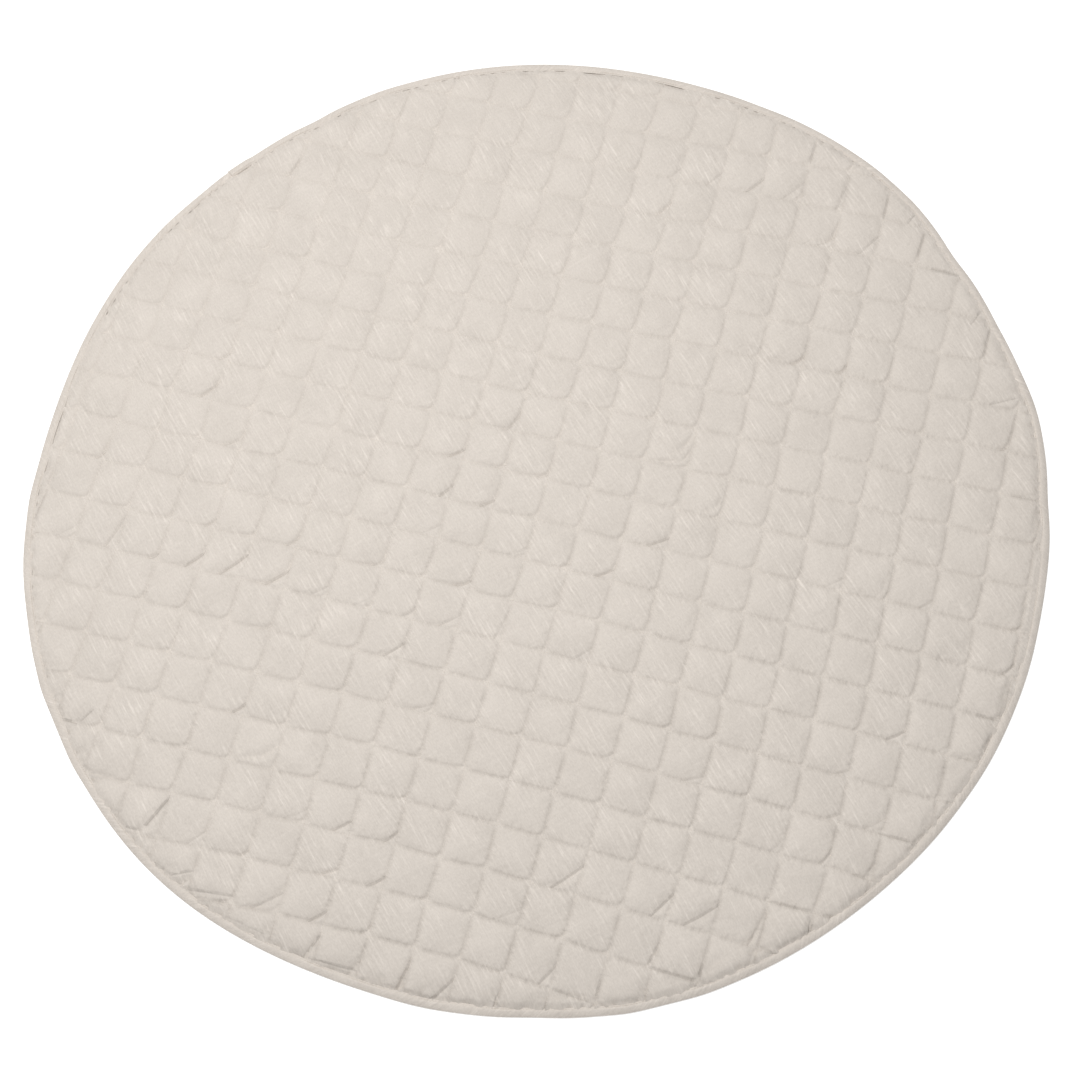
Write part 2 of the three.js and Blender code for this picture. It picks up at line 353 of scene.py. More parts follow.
# At the lower and right parts of the rim the wadding is pushed up against the binding
lower = toward_lower_rim(x, y)
from_binding = inset - BINDING_WIDTH
ease = ease + RIM_EASE * (1 + lower) * np.exp(-(from_binding / RIM_EASE_REACH) ** 2)
drag = (DRAG + DRAG_SPREAD * random.gamma(*DRAG_FORM, (squares, squares)))[square]
fullness = 1 + FULLNESS_SPREAD * random.standard_normal((squares, squares))
fullness = np.clip(fullness, *FULLNESS_RANGE)[square]
fullness = fullness * (1 + FULLER_LOWER_RIGHT * np.clip((x - 1.5 * y) / MAT_RADIUS, -1, 1))

# Folds at the lower right corners of the squares. Each row gives the upright seam and the level seam
# that cross at that corner, how far up the upright seam the fold starts and how far left along the
# level seam it ends, in millimetres, and how deep it is. The middle seams are number 0.
CORNER_FOLDS = [
    (3, 0, 15, 23, 0.9), (2, -1, 14, 19, 0.8), (3, -1, 5, 8, 0.5), (7, 0, 17, 22, 0.5),
    (9, 0, 14, 16, 0.5), (11, 0, 8, 12, 0.6), (11, -1, 16, 12, 0.8), (1, -3, 5, 16, 0.4),
    (2, -3, 20, 18, 0.5), (8, -3, 8, 6, 0.5), (9, -3, 16, 20, 0.8), (10, -3, 12, 14, 0.3),
    (4, -4, 9, 12, 0.6), (5, -4, 12, 12, 0.6), (8, -4, 8, 18, 0.4), (8, -5, 10, 18, 0.6),
    (3, -5, 10, 14, 0.5), (5, -5, 12, 22, 0.5), (6, -5, 8, 10, 0.4), (9, -5, 20, 22, 0.5),
    (1, -5, 10, 14, 0.4), (8, -6, 18, 9, 0.8), (9, -6, 20, 12, 0.5), (7, -6, 22, 14, 0.4),
    (3, -8, 33, 28, 0.9), (4, -8, 12, 12, 0.4), (5, -8, 31, 18, 0.9), (6, -8, 32, 33, 0.9),
    (7, -8, 38, 12, 0.8), (2, -9, 22, 30, 0.4), (3, -9, 8, 12, 0.5), (5, -9, 25, 6, 0.7),
    (3, -10, 24, 14, 0.8), (2, -10, 7, 12, 0.6), (0, -9, 6, 7, 0.7), (0, -11, 34, 8, 0.9),
    (1, -11, 30, 20, 0.9), (-7, 0, 15, 20, 0.6), (-6, 0, 14, 12, 0.6), (-2, 0, 18, 12, 0.9),
    (-1, 0, 12, 16, 0.9), (-10, -1, 11, 10, 0.8), (-8, -1, 6, 8, 0.4), (-2, -1, 18, 22, 0.5),
    (0, -1, 14, 22, 0.4), (-8, -2, 10, 8, 0.5), (-7, -2, 12, 12, 0.5), (-5, -2, 14, 13, 0.7),
    (-3, -2, 9, 13, 0.7), (-1, -2, 11, 17, 0.9), (-10, -3, 22, 22, 0.4), (-9, -3, 42, 14, 0.6),
    (-8, -3, 9, 10, 0.9), (-7, -3, 21, 18, 1.0), (-6, -3, 31, 27, 1.0), (-5, -3, 24, 24, 1.0),
    (-4, -3, 18, 20, 0.5), (-3, -3, 18, 20, 0.4), (-2, -3, 14, 16, 0.5), (-1, -3, 20, 22, 0.5),
    (0, -3, 36, 8, 0.5), (-7, -4, 16, 10, 0.4), (-5, -4, 9, 9, 0.5), (-3, -4, 8, 12, 0.5),
    (-2, -4, 22, 20, 0.8), (-3, -5, 10, 8, 0.5), (-1, -5, 14, 24, 0.5), (-5, -6, 14, 13, 0.9),
    (-7, -6, 12, 14, 0.5), (-3, -6, 6, 10, 0.4), (-1, -6, 5, 12, 0.7), (-2, -8, 17, 19, 0.9),
    (-1, -8, 15, 13, 0.9), (-4, -8, 20, 22, 0.3), (-3, -8, 18, 24, 0.4), (-6, -9, 45, 24, 1.2),
    (-5, -9, 20, 18, 0.6), (-4, -9, 10, 10, 0.7), (-2, -9, 12, 20, 0.6), (-1, -9, 14, 16, 0.9),
    (-5, -10, 20, 24, 0.8), (-4, -10, 8, 12, 0.7), (-3, -10, 24, 30, 0.6), (-2, -10, 15, 17, 1.0),
    (-1, -10, 12, 10, 0.7), (-2, -11, 40, 18, 1.0), (-1, -11, 22, 16, 0.9), (-8, 7, 27, 8, 0.7),
    (-8, 2, 14, 12, 0.7), (-8, 1, 22, 16, 0.8), (-8, 4, 6, 6, 0.4), (-5, 4, 6, 6, 0.3),
    (-1, 2, 24, 10, 0.8), (-2, 1, 14, 18, 0.9), (-1, 1, 6, 12, 0.4), (0, 1, 7, 12, 0.7),
    (1, 9, 16, 12, 0.4), (2, 9, 20, 16, 0.6), (3, 9, 22, 18, 0.9), (4, 9, 30, 24, 0.5),
    (5, 9, 45, 7, 0.5), (1, 8, 22, 14, 0.6), (5, 8, 18, 20, 0.6), (6, 8, 28, 18, 0.7),
    (10, 4, 12, 8, 0.9), (5, 5, 14, 14, 0.7), (6, 5, 14, 9, 0.8), (3, 1, 14, 18, 0.3),
    (5, 1, 20, 6, 0.4),
]
SMALL_FOLD_REACH = (5, 12)
SMALL_FOLD_DEPTH = (0.0, 0.16)
FOLD_BOW = 0.30
STRAIGHT_FOLD_MM = 24
FOLD_SHARE = 0.85
FLAP_RISE = 0.35
FLAP_MM = 5
CORNER_CUT = (0, 5)
CORNER_ROUND_MM = 3.0
SHARPER_LOWER_RIGHT = 0.4

fold_up = random.uniform(*SMALL_FOLD_REACH, (squares, squares))
fold_left = random.uniform(*SMALL_FOLD_REACH, (squares, squares))
fold_deep = random.uniform(*SMALL_FOLD_DEPTH, (squares, squares))
for i, j, up, left, depth in CORNER_FOLDS:
    at = (i + SQUARES_REACH - 1, j + SQUARES_REACH)
    fold_up[at] = up
    fold_left[at] = left
    fold_deep[at] = depth


def swelling(sides):
    """How full a pillow is, 0 to 1, from how far in a place lies from each of its sides."""
    inward = -corner_round * np.log(sum(np.exp(-side / corner_round) for side in sides))
    inward = np.maximum(inward, 0)
    side = 1 - np.exp(-inward / SIDE_REACH_MM)
    middle = 1 - (1 - np.clip(inward / (SQUARE * 500), 0, 1)) ** PILLOW_FORM
    return SIDE_SHARE * side + (1 - SIDE_SHARE) * middle


up = fold_up[square]
left = fold_left[square]
depth = fold_deep[square]
right_mm = (crossing_u - u) * SQUARE * 1000
low_mm = (v - crossing_v) * SQUARE * 1000
left_mm = SQUARE * 1000 - right_mm
high_mm = SQUARE * 1000 - low_mm
size = left * up / np.hypot(left, up)
along = right_mm / left - low_mm / up
roundness = np.clip((STRAIGHT_FOLD_MM - np.hypot(left, up)) / 12, 0.1, 1)
bow = FOLD_BOW * roundness * size * (1 - np.minimum(along ** 2, 1))
fold_gap = (1 - right_mm / left - low_mm / up) * size - bow
fold_depth = depth ** 1.5 * np.clip(2.4 - 1.4 * np.abs(along), 0, 1)
fold_number = crossing_u * 100 + crossing_v

# A pillow swells inside its four seams, its fold, and the short cuts across its other corners
sharper = 1 - SHARPER_LOWER_RIGHT * np.clip((x - y) / MAT_RADIUS, 0, 1)
corner_round = CORNER_ROUND_MM * sharper
cuts = random.uniform(*CORNER_CUT, (3, squares, squares))
sides = [
    right_mm, low_mm, left_mm, high_mm,
    (left_mm + low_mm - cuts[0][square] * sharper) / math.sqrt(2),
    (left_mm + high_mm - cuts[1][square] * sharper) / math.sqrt(2),
    (right_mm + high_mm - cuts[2][square] * sharper) / math.sqrt(2),
    (right_mm + low_mm - cuts[0][square] * sharper) / math.sqrt(2),
]
unfolded_dome = swelling(sides)
folded_dome = swelling(sides + [-fold_gap])
folded = FOLD_SHARE * np.clip((depth - 0.2) / 0.7, 0, 1)
dome = unfolded_dome + (folded_dome - unfolded_dome) * folded
flap = np.clip(np.minimum(np.minimum(right_mm, low_mm), fold_gap) / FLAP_MM, 0, 1)
dome = np.maximum(dome, FLAP_RISE * np.minimum(depth, 1) * flap)

# The cloth settles between the seams, where it is held, and is pushed up and to the lower right
START_UNEVEN = 0.00008
LEAN_PUSH = 0.00002
LIFT_PUSH = 0.00006
ROUNDS = 140
SMOOTHING = 24

on_seam = np.zeros(u.shape, bool)
on_seam[::STEPS] = True
on_seam[:, ::STEPS] = True
held = on_seam | (inset < BINDING_WIDTH)
free = (~held).astype(float)
rim_slope = RIM_SLOPE * (1 - STEEPER_LOWER_RIM * lower)
rim_room = np.clip(from_binding / rim_slope, 0, 1) ** RIM_ROOM_FORM
rim_room = rim_room * (1 + LOWER_RIM_BULGE * lower * np.exp(-(from_binding / LOWER_BULGE_REACH) ** 2))
base = seam_top(u, v, x, y)
base = base - RIM_TAPER * np.clip((RIM_TAPER_START - inset) / RIM_TAPER_REACH, 0, 1) ** 1.5
rise = PILLOW_RISE * fullness * dome * rim_room
uneven = START_UNEVEN * random.standard_normal(u.shape)
start = np.stack([x, y, base + free * (0.5 * rise + uneven)], axis=2)
plain = 1 + ease
bend = 1 + 0.3 * ease
links = [
    ((1, 0), 0.4, plain),
    ((0, 1), 0.4, plain),
    ((1, 1), 0.8, plain - 0.3 * drag),
    ((1, -1), 0.8, plain + drag),
    ((2, 0), 0.25, bend),
    ((0, 2), 0.25, bend),
    ((3, 0), 0.12, bend),
    ((0, 3), 0.12, bend),
]
lean = free * np.sqrt(dome)
push = np.stack([LEAN_PUSH * lean, -LEAN_PUSH * lean, LIFT_PUSH * lean], axis=2)
rounds = ROUNDS
cloth = relax_cloth(start, free, links, rounds, push, base + rise)
around = cloth[:-2, 1:-1] + cloth[2:, 1:-1] + cloth[1:-1, :-2] + cloth[1:-1, 2:]
soft = cloth.copy()
soft[1:-1, 1:-1] += (around - 4 * cloth[1:-1, 1:-1]) / SMOOTHING
cloth = np.where(held[..., None], cloth, soft)

# Creases where the quilting meets the binding. The first run along a seam: its number, the two ends
# of the crease in millimetres from the mat's middle, and the depth. The others give both ends.
UPRIGHT_SEAM_CREASES = [
    (4, -541, -521, 0.9), (6, -491, -477, 0.9), (7, -441, -397, 0.5), (-11, -162, -127, 0.6),
    (6, 468, 494, 0.8), (7, 427, 452, 0.7), (4, 522, 546, 0.7), (10, 212, 252, 0.5),
    (-6, 459, 491, 0.5), (9, 316, 347, 0.8),
]
LEVEL_SEAM_CREASES = [
    (-2, 548, 567, 0.9), (-3, 544, 551, 0.6), (-5, 474, 501, 0.9), (-6, 455, 465, 0.7),
    (-7, 370, 418, 0.6), (-9, 265, 309, 0.7), (-10, 168, 208, 0.6), (-7, -462, -435, 1.2),
    (8, 386, 421, 1.1), (3, 538, 561, 0.7),
]
RIM_CREASES = [
    (-435, -381, -428, -369, 0.9), (-583, -96, -583, -115, 0.6), (-334, -488, -346, -488, 0.9),
    (-306, -519, -280, -527, 0.9), (-280, -527, -260, -518, 0.9), (-255, -538, -210, -533, 0.7),
    (-201, -557, -162, -564, 0.5), (-102, -577, -54, -577, 0.8), (351, 480, 346, 468, 0.9),
    (452, 366, 446, 351, 0.8), (516, 268, 488, 253, 0.7),
]
CREASE_MM = 3.2
CREASE_REACH_MM = 7
CREASE_FADE_MM = 5
CREASE_SHARE = 0.7
FIRST_CREASE = 10000
FOLD_TROUGH_MM = 2.2
FOLD_SINK = 0.0007

x_mm = x * 1000
y_mm = y * 1000
creases = []
for seam, first, last, deep in UPRIGHT_SEAM_CREASES:
    creases.append((y_mm - first, last - first, (u - seam) * SQUARE * 1000, deep))
for seam, first, last, deep in LEVEL_SEAM_CREASES:
    creases.append((x_mm - first, last - first, (v - seam) * SQUARE * 1000, deep))
for from_x, from_y, to_x, to_y, deep in RIM_CREASES:
    reach = math.hypot(to_x - from_x, to_y - from_y)
    along_x = (to_x - from_x) / reach
    along_y = (to_y - from_y) / reach
    run = (x_mm - from_x) * along_x + (y_mm - from_y) * along_y
    creases.append((run, reach, (y_mm - from_y) * along_x - (x_mm - from_x) * along_y, deep))
rim_trough = np.zeros(u.shape)
for number, (run, reach, side, deep) in enumerate(creases):
    past = run - np.clip(run, 0, reach)
    apart = np.hypot(past, side)
    rim_trough = np.maximum(rim_trough, deep * np.exp(-(apart / CREASE_MM) ** 2))
    nearer = apart < CREASE_REACH_MM
    fold_gap = np.where(nearer, side, fold_gap)
    fading = np.clip(1.2 - np.abs(past) / CREASE_FADE_MM, 0, 1)
    fold_depth = np.where(nearer, deep * fading, fold_depth)
    fold_number = np.where(nearer, FIRST_CREASE + number, fold_number)

fold_trough = np.minimum(fold_depth, 1) ** 1.5 * np.exp(-(fold_gap / FOLD_TROUGH_MM) ** 2)
fold_trough = fold_trough * (fold_number < FIRST_CREASE)
height = cloth[..., 2] - base
settled = base + height * (1 - CREASE_SHARE * np.minimum(rim_trough, 1)) - FOLD_SINK * fold_trough
cloth[..., 2] = np.where(held, cloth[..., 2], settled)
fold_depth = fold_depth * (from_binding > 0)

# Seams that are drawn more tightly than the others pucker more and carry more painted shade in their
# groove. Each row gives the seam, the crossings that the tight stretch runs between, and how tight it
# is.
TIGHT_LEVEL_SEAMS = [
    (-7, -8, 8, 0.5), (3, -6, -1, 0.6), (8, -8, -4, 0.4), (-5, 5, 7, 1.0), (-10, -5, 3, 0.5),
    (-9, -3, 6, 0.4), (2, 4, 6, 0.6), (-2, 3, 11, 0.5), (-8, -1, 6, 0.4), (-6, -1, 6, 0.4),
    (-4, -4, 1, 0.3), (-1, 5, 11, 0.4), (0, -9, 0, 0.3),
]
TIGHT_UPRIGHT_SEAMS = [
    (7, 8, 9, 0.8), (0, 3, 7, 0.4), (-8, -4, 0, 0.3), (-6, -9, -6, 0.6), (-3, -5, 1, 0.4),
    (-1, -10, -1, 0.5), (4, 3, 11, 0.4), (9, -5, -2, 0.5), (8, -5, 0, 0.4), (10, -5, -3, 0.6),
    (2, -11, -3, 0.4), (6, -5, -1, 0.4), (-5, -3, 0, 0.4), (0, -11, -8, 0.5), (-2, -10, 2, 0.5),
]
TIGHTER_AND_SHADIER_LOWER_RIGHT = 0.34
ANY_SEAM_PULL = 0.25
TIGHT_SEAM_PULL = 0.6


def seam_pull(table, seam, along):
    """How tight each seam is drawn, looked up by its number and the square along it."""
    pull = ANY_SEAM_PULL * random.random((squares + 1, squares + 1))
    for number, first, last, tight in table:
        stretch = slice(first + SQUARES_REACH, last + SQUARES_REACH)
        pull[number + SQUARES_REACH, stretch] += TIGHT_SEAM_PULL * tight
    near = np.clip(np.round(seam).astype(int) + SQUARES_REACH, 0, squares)
    place = np.clip(np.floor(along).astype(int) + SQUARES_REACH, 0, squares)
    return pull[near, place]


# Towards the lower right the seams pucker more and their painted groove shade grows darker
tighter_and_shadier = TIGHTER_AND_SHADIER_LOWER_RIGHT * (x - y) / MAT_RADIUS
upright_pull_and_shade = seam_pull(TIGHT_UPRIGHT_SEAMS, u, v) + tighter_and_shadier
level_pull_and_shade = seam_pull(TIGHT_LEVEL_SEAMS, v, u) + tighter_and_shadier


def round_sheet(points, inset, flip, *facts):
    """Cuts a grid of points to the round edge. Gives its points, faces, and the facts at each point."""
    rows, columns = inset.shape
    keep = inset > RIM_INSET
    quad = keep[:-1, :-1] | keep[1:, :-1] | keep[:-1, 1:] | keep[1:, 1:]
    number = np.arange(rows * columns).reshape(rows, columns)
    i, j = np.nonzero(quad)
    faces = np.stack([number[i, j], number[i + 1, j], number[i + 1, j + 1], number[i, j + 1]], axis=1)
    if flip:
        faces = faces[:, ::-1]
    used, faces = np.unique(faces, return_inverse=True)
    faces = faces.reshape(-1, 4)
    places = points.reshape(-1, 3)[used].copy()
    outside = ~keep.ravel()[used]
    cx = places[outside, 0] + OUTLINE_MIDDLE[0]
    cy = places[outside, 1] + OUTLINE_MIDDLE[1]
    angle = np.arctan2(cy, cx)
    radius = edge_radius(angle) - RIM_INSET
    places[outside, 0] = radius * np.cos(angle) - OUTLINE_MIDDLE[0]
    places[outside, 1] = radius * np.sin(angle) - OUTLINE_MIDDLE[1]
    return places, faces, [fact.ravel()[used] for fact in facts]


def rim_loop(faces):
    """The vertices of the open border, in order round the mat."""
    edges = set()
    for face in faces.tolist():
        edges.update(zip(face, face[1:] + face[:1]))
    border = {a: b for a, b in edges if (b, a) not in edges}
    loop = [next(iter(border))]
    while border[loop[-1]] != loop[0]:
        loop.append(border[loop[-1]])
    return loop


top_points, top_faces, top_facts = round_sheet(
    cloth, inset, False, u, v, fold_gap, fold_depth, upright_pull_and_shade, level_pull_and_shade,
    inset * 1000, lower ** 2, fold_number)

# The cloth below is pressed flat on the floor, and only its seams are drawn up a little
GAPS_BELOW = np.array([2.0, 6.0, 11.0, 14.2, 11.0, 6.0, 2.0])
SEAM_LIFT_REACH = 0.007
RIM_LIFT_START = 0.0005
RIM_LIFT_REACH = 0.004
NO_FOLD_MM = 30.0
PULL_BELOW = 0.3

lines_below = grid_lines(GAPS_BELOW)
u_below, v_below = np.meshgrid(lines_below, lines_below, indexing="ij")
x_below, y_below = quilt_place(u_below, v_below)
inset_below = inside_edge(x_below, y_below)
off_seam_u = np.abs(u_below - np.round(u_below))
off_seam_v = np.abs(v_below - np.round(v_below))
off_seam = np.minimum(off_seam_u, off_seam_v) * SQUARE
lift = SEAM_LIFT_BELOW * np.clip(1 - off_seam / SEAM_LIFT_REACH, 0, 1) ** 2
near_rim = np.clip(1 - (inset_below - BINDING_WIDTH - RIM_LIFT_START) / RIM_LIFT_REACH, 0, 1)
lift = np.maximum(lift, RIM_UNDERSIDE * near_rim)
below = np.stack([x_below, y_below, lift], axis=2)
unfolded = np.full(u_below.shape, NO_FOLD_MM)
none = np.zeros(u_below.shape)
pull_below = none + PULL_BELOW
low_points, low_faces, low_facts = round_sheet(
    below, inset_below, True, u_below, v_below, unfolded, none, pull_below, pull_below,
    inset_below * 1000, none, none)

points = np.concatenate([top_points, low_points])
facts = [np.concatenate(pair) for pair in zip(top_facts, low_facts)]
upper_rim = rim_loop(top_faces)
lower_rim = [k + len(top_points) for k in rim_loop(low_faces)][::-1]


def zip_rims(points, upper, lower):
    """Triangles that close the pressed edge between the rim loops of the upper and the lower cloth."""
    def unrolled(loop):
        turns = np.arctan2(points[loop, 1], points[loop, 0])
        first = int(np.argmin(turns))
        loop = loop[first:] + loop[:first]
        turns = np.roll(turns, -first)
        return loop + loop[:1], np.append(turns, turns[0] + 2 * math.pi)

    upper, upper_turns = unrolled(upper)
    lower, lower_turns = unrolled(lower)
    triangles = []
    i = j = 0
    while i < len(upper) - 1 or j < len(lower) - 1:
        lower_done = j == len(lower) - 1
        if i < len(upper) - 1 and (lower_done or upper_turns[i + 1] <= lower_turns[j + 1]):
            triangles.append((upper[i + 1], upper[i], lower[j]))
            i += 1
        else:
            triangles.append((upper[i], lower[j], lower[j + 1]))
            j += 1
    return triangles


wall = zip_rims(points, upper_rim, lower_rim)
panel_mesh = bpy.data.meshes.new("quilted_cloth")
all_faces = top_faces.tolist() + (low_faces + len(top_points)).tolist() + wall
panel_mesh.from_pydata(points.tolist(), [], all_faces)
squares_map = panel_mesh.uv_layers.new(name="squares")
loop_points = np.zeros(len(panel_mesh.loops), int)
panel_mesh.loops.foreach_get("vertex_index", loop_points)
coords = np.stack(facts[:2], axis=1)[loop_points]
squares_map.data.foreach_set("uv", coords.astype(np.float32).ravel())
fact_names = ("fold_gap", "fold_depth", "upright_pull_and_shade", "level_pull_and_shade", "rim_mm", "lower_rim_shade")
for name, values in zip(fact_names, facts[2:8]):
    layer = panel_mesh.attributes.new(name, "FLOAT", "POINT")
    layer.data.foreach_set("value", values.astype(np.float32))
# Only a face whose corners all belong to one fold shows that fold's painted shadow line and dent
fold_numbers = facts[8][top_faces]
whole = np.all(fold_numbers == fold_numbers[:, :1], axis=1)
shows_fold = np.zeros(len(all_faces), np.float32)
shows_fold[:len(top_faces)] = whole
layer = panel_mesh.attributes.new("shows_fold", "FLOAT", "FACE")
layer.data.foreach_set("value", shows_fold)
panel_mesh.shade_smooth()
panel = set_down("quilted_cloth", panel_mesh)

# Slubby plain weave: thick and thin yarns at 45 degrees to the seams, tiny puckers beside the stitching,
# painted shade in the seam grooves, in the folds and beside the binding, and painted light round the
# crossings
CLOTH_LIGHT = (0.866, 0.796, 0.724)
CLOTH_DARK = (0.328, 0.292, 0.256)
CLOTH_TONE = 0.68
YARN_MM = 0.85
YARN_HEIGHT = 0.012
SLUB_LENGTH_MM = 26.0
SLUB_WIDTH_MM = 2.6
SLUB_TONE = 0.088
SLUB_CUT = (0.06, 0.30)
YARN_TONE = 0.225
SLUB_HEIGHT = 0.03
CROSS_SLUB_TONE = 0.03
CROSS_SLUB_CUT = (0.08, 0.32)
CLUSTER_MM = 48.0
CLUSTER_CUT = (-0.16, 0.20)
CLUSTER_GAIN = 1.35
LEAST_SLUBBY = 0.30
GRAIN_MM = (3.2, 1.5)
GRAIN_TONE = 0.082
DENT_MM = 11.0
DENT_HEIGHT = 1.1
CRUMPLE_MM = 4.5
CRUMPLE_HEIGHT = 0.50
PATCH_MM = 45.0
PATCH_TONE = 0.034
PUCKER_MM = 5.2
PUCKER_LENGTH_MM = 20
PUCKER_REACH_MM = 10.0
PUCKER_HEIGHT = 0.60
LEAST_PULL = 0.7
SEAM_SHADE_MM = 4.8
SEAM_SHADE = 0.071
RAGGED_PER_MM = 0.06
RAGGED_GAIN = 2.4
CROSSING_REACH_MM = 11.0
CROSSING_MM = 7.0
CROSSING_HIGHLIGHT = 0.03
FOLD_SHADE_MM = 1.5
FOLD_SHADE = 0.27
FOLD_DENT_MM = 3.2
FOLD_DENT_HEIGHT = 0.9
BESIDE_BINDING_MM = (17.0, 11.5)
BESIDE_BINDING_SHADE = 0.015
BESIDE_BINDING_DIP = 0.4
LOWER_BINDING_SHADE = 0.06
NEAR_RIM_MM = (45.0, 12.0)
NEAR_LOWER_RIM_SHADE = 0.065
CLOTH_GLOSS = (0.88, 0.25, 0.08)


class Weave:
    """Wires up one finish: numbers and sockets go in, sockets come out."""

    def __init__(self, name):
        self.material = bpy.data.materials.new(name)
        self.material.use_nodes = True
        self.tree = self.material.node_tree
        self.shader = self.tree.nodes["Principled BSDF"]

    def feed(self, socket, value):
        if isinstance(value, bpy.types.NodeSocket):
            self.tree.links.new(value, socket)
        else:
            socket.default_value = value

    def reckon(self, operation, *values):
        """One sum worked out by the finish itself, at each spot of the cloth."""
        node = self.tree.nodes.new("ShaderNodeMath")
        node.operation = operation
        for socket, value in zip(node.inputs, values):
            self.feed(socket, value)
        return node.outputs[0]

    def fade(self, value, start, end):
        node = self.tree.nodes.new("ShaderNodeMapRange")
        node.interpolation_type = "SMOOTHSTEP"
        self.feed(node.inputs["Value"], value)
        node.inputs["From Min"].default_value = start
        node.inputs["From Max"].default_value = end
        return node.outputs["Result"]

    def spread(self, place, stretch, turn=0.0):
        node = self.tree.nodes.new("ShaderNodeMapping")
        self.feed(node.inputs["Vector"], place)
        node.inputs["Scale"].default_value = (*stretch, 1)
        node.inputs["Rotation"].default_value = (0, 0, turn)
        return node.outputs["Vector"]

    def noise(self, place, detail=1.0):
        node = self.tree.nodes.new("ShaderNodeTexNoise")
        self.feed(node.inputs["Vector"], place)
        node.inputs["Scale"].default_value = 1.0
        node.inputs["Detail"].default_value = detail
        return self.minus(node.outputs["Fac"], 0.5)

    def unrolled_place(self, name):
        node = self.tree.nodes.new("ShaderNodeUVMap")
        node.uv_map = name
        return node.outputs["UV"]

    def split(self, place):
        node = self.tree.nodes.new("ShaderNodeSeparateXYZ")
        self.feed(node.inputs[0], place)
        return node.outputs

    def attribute(self, name):
        node = self.tree.nodes.new("ShaderNodeAttribute")
        node.attribute_name = name
        return node.outputs["Fac"]

    def times(self, *values):
        result = values[0]
        for value in values[1:]:
            result = self.reckon("MULTIPLY", result, value)
        return result

    def minus(self, value, less):
        return self.reckon("SUBTRACT", value, less)

    def total(self, *parts):
        result = parts[0]
        for part in parts[1:]:
            result = self.reckon("ADD", result, part)
        return result

    def colour(self, tone, dark, light):
        node = self.tree.nodes.new("ShaderNodeMix")
        node.data_type = "RGBA"
        self.feed(node.inputs["Factor"], tone)
        for socket in node.inputs:
            if socket.type == "RGBA" and socket.name == "A":
                socket.default_value = (*dark, 1)
            if socket.type == "RGBA" and socket.name == "B":
                socket.default_value = (*light, 1)
        result = [socket for socket in node.outputs if socket.type == "RGBA"][0]
        middle = [d + (l - d) * CLOTH_TONE for d, l in zip(dark, light)]
        self.shader.inputs["Base Color"].default_value = (*middle, 1)
        self.tree.links.new(result, self.shader.inputs["Base Color"])

    def relief(self, height_mm):
        node = self.tree.nodes.new("ShaderNodeBump")
        node.inputs["Distance"].default_value = 0.001
        node.inputs["Strength"].default_value = 1.0
        self.feed(node.inputs["Height"], height_mm)
        self.tree.links.new(node.outputs["Normal"], self.shader.inputs["Normal"])

    def gloss(self, roughness, specular, sheen):
        self.shader.inputs["Roughness"].default_value = roughness
        self.shader.inputs["Specular IOR Level"].default_value = specular
        self.shader.inputs["Sheen Weight"].default_value = sheen


def weave_tone_and_height(weave, millimetres):
    """Tone and height of the slubby weave, from a place in millimetres on the flat cloth."""
    yarns = weave.spread(millimetres, (1, 1), math.radians(45))
    long_yarn = weave.noise(weave.spread(yarns, (1 / SLUB_LENGTH_MM, 1 / SLUB_WIDTH_MM)), 1.2)
    long_slub = weave.fade(long_yarn, *SLUB_CUT)
    cross_yarn = weave.noise(weave.spread(yarns, (1 / SLUB_WIDTH_MM, 1 / SLUB_LENGTH_MM)), 1.2)
    cross_slub = weave.fade(cross_yarn, *CROSS_SLUB_CUT)
    grain = weave.noise(weave.spread(yarns, (1 / GRAIN_MM[0], 1 / GRAIN_MM[1])), 2.0)
    patch = weave.noise(weave.spread(yarns, (1 / PATCH_MM, 1 / PATCH_MM)), 2.0)
    dents = weave.noise(weave.spread(yarns, (1 / DENT_MM, 1 / DENT_MM)), 1.5)
    crumples = weave.noise(weave.spread(yarns, (0.7 / CRUMPLE_MM, 1 / CRUMPLE_MM)), 1.0)
    # Thick places in the yarn come in clusters
    clusters = weave.noise(weave.spread(yarns, (0.7 / CLUSTER_MM, 1 / CLUSTER_MM)), 2.0)
    clusters = weave.fade(clusters, *CLUSTER_CUT)
    slubby = weave.total(LEAST_SLUBBY, weave.times(clusters, CLUSTER_GAIN))
    axes = weave.split(yarns)
    over = weave.reckon("SINE", weave.times(axes[0], 2 * math.pi / YARN_MM))
    under = weave.reckon("SINE", weave.times(axes[1], 2 * math.pi / YARN_MM))
    checks = weave.times(over, under)
    tone = weave.total(
        weave.times(long_yarn, slubby, YARN_TONE),
        weave.times(cross_yarn, YARN_TONE / 3),
        weave.times(long_slub, slubby, SLUB_TONE),
        weave.times(cross_slub, CROSS_SLUB_TONE),
        weave.times(grain, GRAIN_TONE * 4),
        weave.times(patch, PATCH_TONE * 6),
    )
    height = weave.total(
        weave.times(long_slub, SLUB_HEIGHT * 2),
        weave.times(cross_slub, SLUB_HEIGHT),
        weave.times(checks, YARN_HEIGHT),
        weave.times(dents, DENT_HEIGHT),
        weave.times(crumples, CRUMPLE_HEIGHT),
    )
    return tone, height


